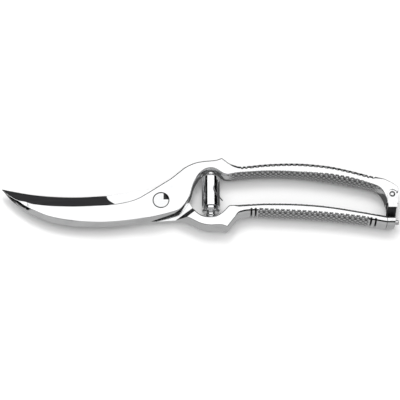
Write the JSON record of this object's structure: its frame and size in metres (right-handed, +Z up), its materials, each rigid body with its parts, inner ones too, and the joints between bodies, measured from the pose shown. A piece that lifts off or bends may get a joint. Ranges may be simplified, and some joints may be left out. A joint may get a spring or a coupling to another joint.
{
  "type": "poultry shears",
  "caption": "Forged poultry shears with curved crossing blades, a screw pivot, a telescoping spring barrel, patterned bar handles and a hinged latch that holds the handles shut",
  "frame": {"origin": "on the pivot screw's axis, at the underside, in the centre of the pivot nut's flat face", "axes": "+X along the shears from the pivot toward the handles' ends, with the blades along -X; +Y across them from the lower handle toward the upper one; +Z up along the pivot, from the nut to the screw's head"},
  "size_m": [0.2523, 0.0485, 0.0121],
  "materials": {
    "chromed_steel": "mirror-bright plated forged steel, with a finely ground dark face on the rear blade",
    "bright_fastener": "bright turned and plated steel",
    "spring_steel": "drawn spring wire"
  },
  "bodies": {
    "front": {"front_half": "chromed_steel", "pivot_screw": "bright_fastener", "pivot_nut": "bright_fastener"},
    "rear": {"rear_half": "chromed_steel", "latch_stud": "bright_fastener"},
    "barrel": {"spring_case": "chromed_steel", "case_plug": "bright_fastener", "case_stop_wire": "spring_steel"},
    "plunger": {"spring_plunger": "bright_fastener", "plunger_foot": "bright_fastener", "coil_spring": "spring_steel"},
    "latch": {"latch_link": "chromed_steel", "latch_rivet": "bright_fastener"}
  },
  "joints": [
    {"name": "pivot_open", "type": "hinge", "parent": "front", "child": "rear", "pos_m": [0, 0, 0.0058], "axis": [0, 0, -1], "range_deg": [0, 25]},
    {"name": "barrel_swing", "type": "hinge", "parent": "front", "child": "barrel", "pos_m": [0.0315, 0.0198, 0.0058], "axis": [0, 0, -1], "range_deg": [0, 9.26]},
    {"name": "plunger_slide", "type": "slide", "parent": "barrel", "child": "plunger", "axis": [0, -1, 0], "range_m": [0, 0.01337], "deforming": ["coil_spring"]},
    {"name": "latch_swing", "type": "hinge", "parent": "front", "child": "latch", "pos_m": [0.1462, 0.00415, 0.0058], "axis": [0, 0, 1], "range_deg": [0, 60]}
  ],
  "couplings": [
    {"joint": "barrel_swing", "follows": "pivot_open", "ratio": 0.35037},
    {"joint": "plunger_slide", "follows": "pivot_open", "m_per_rad": 0.02996}
  ]
}
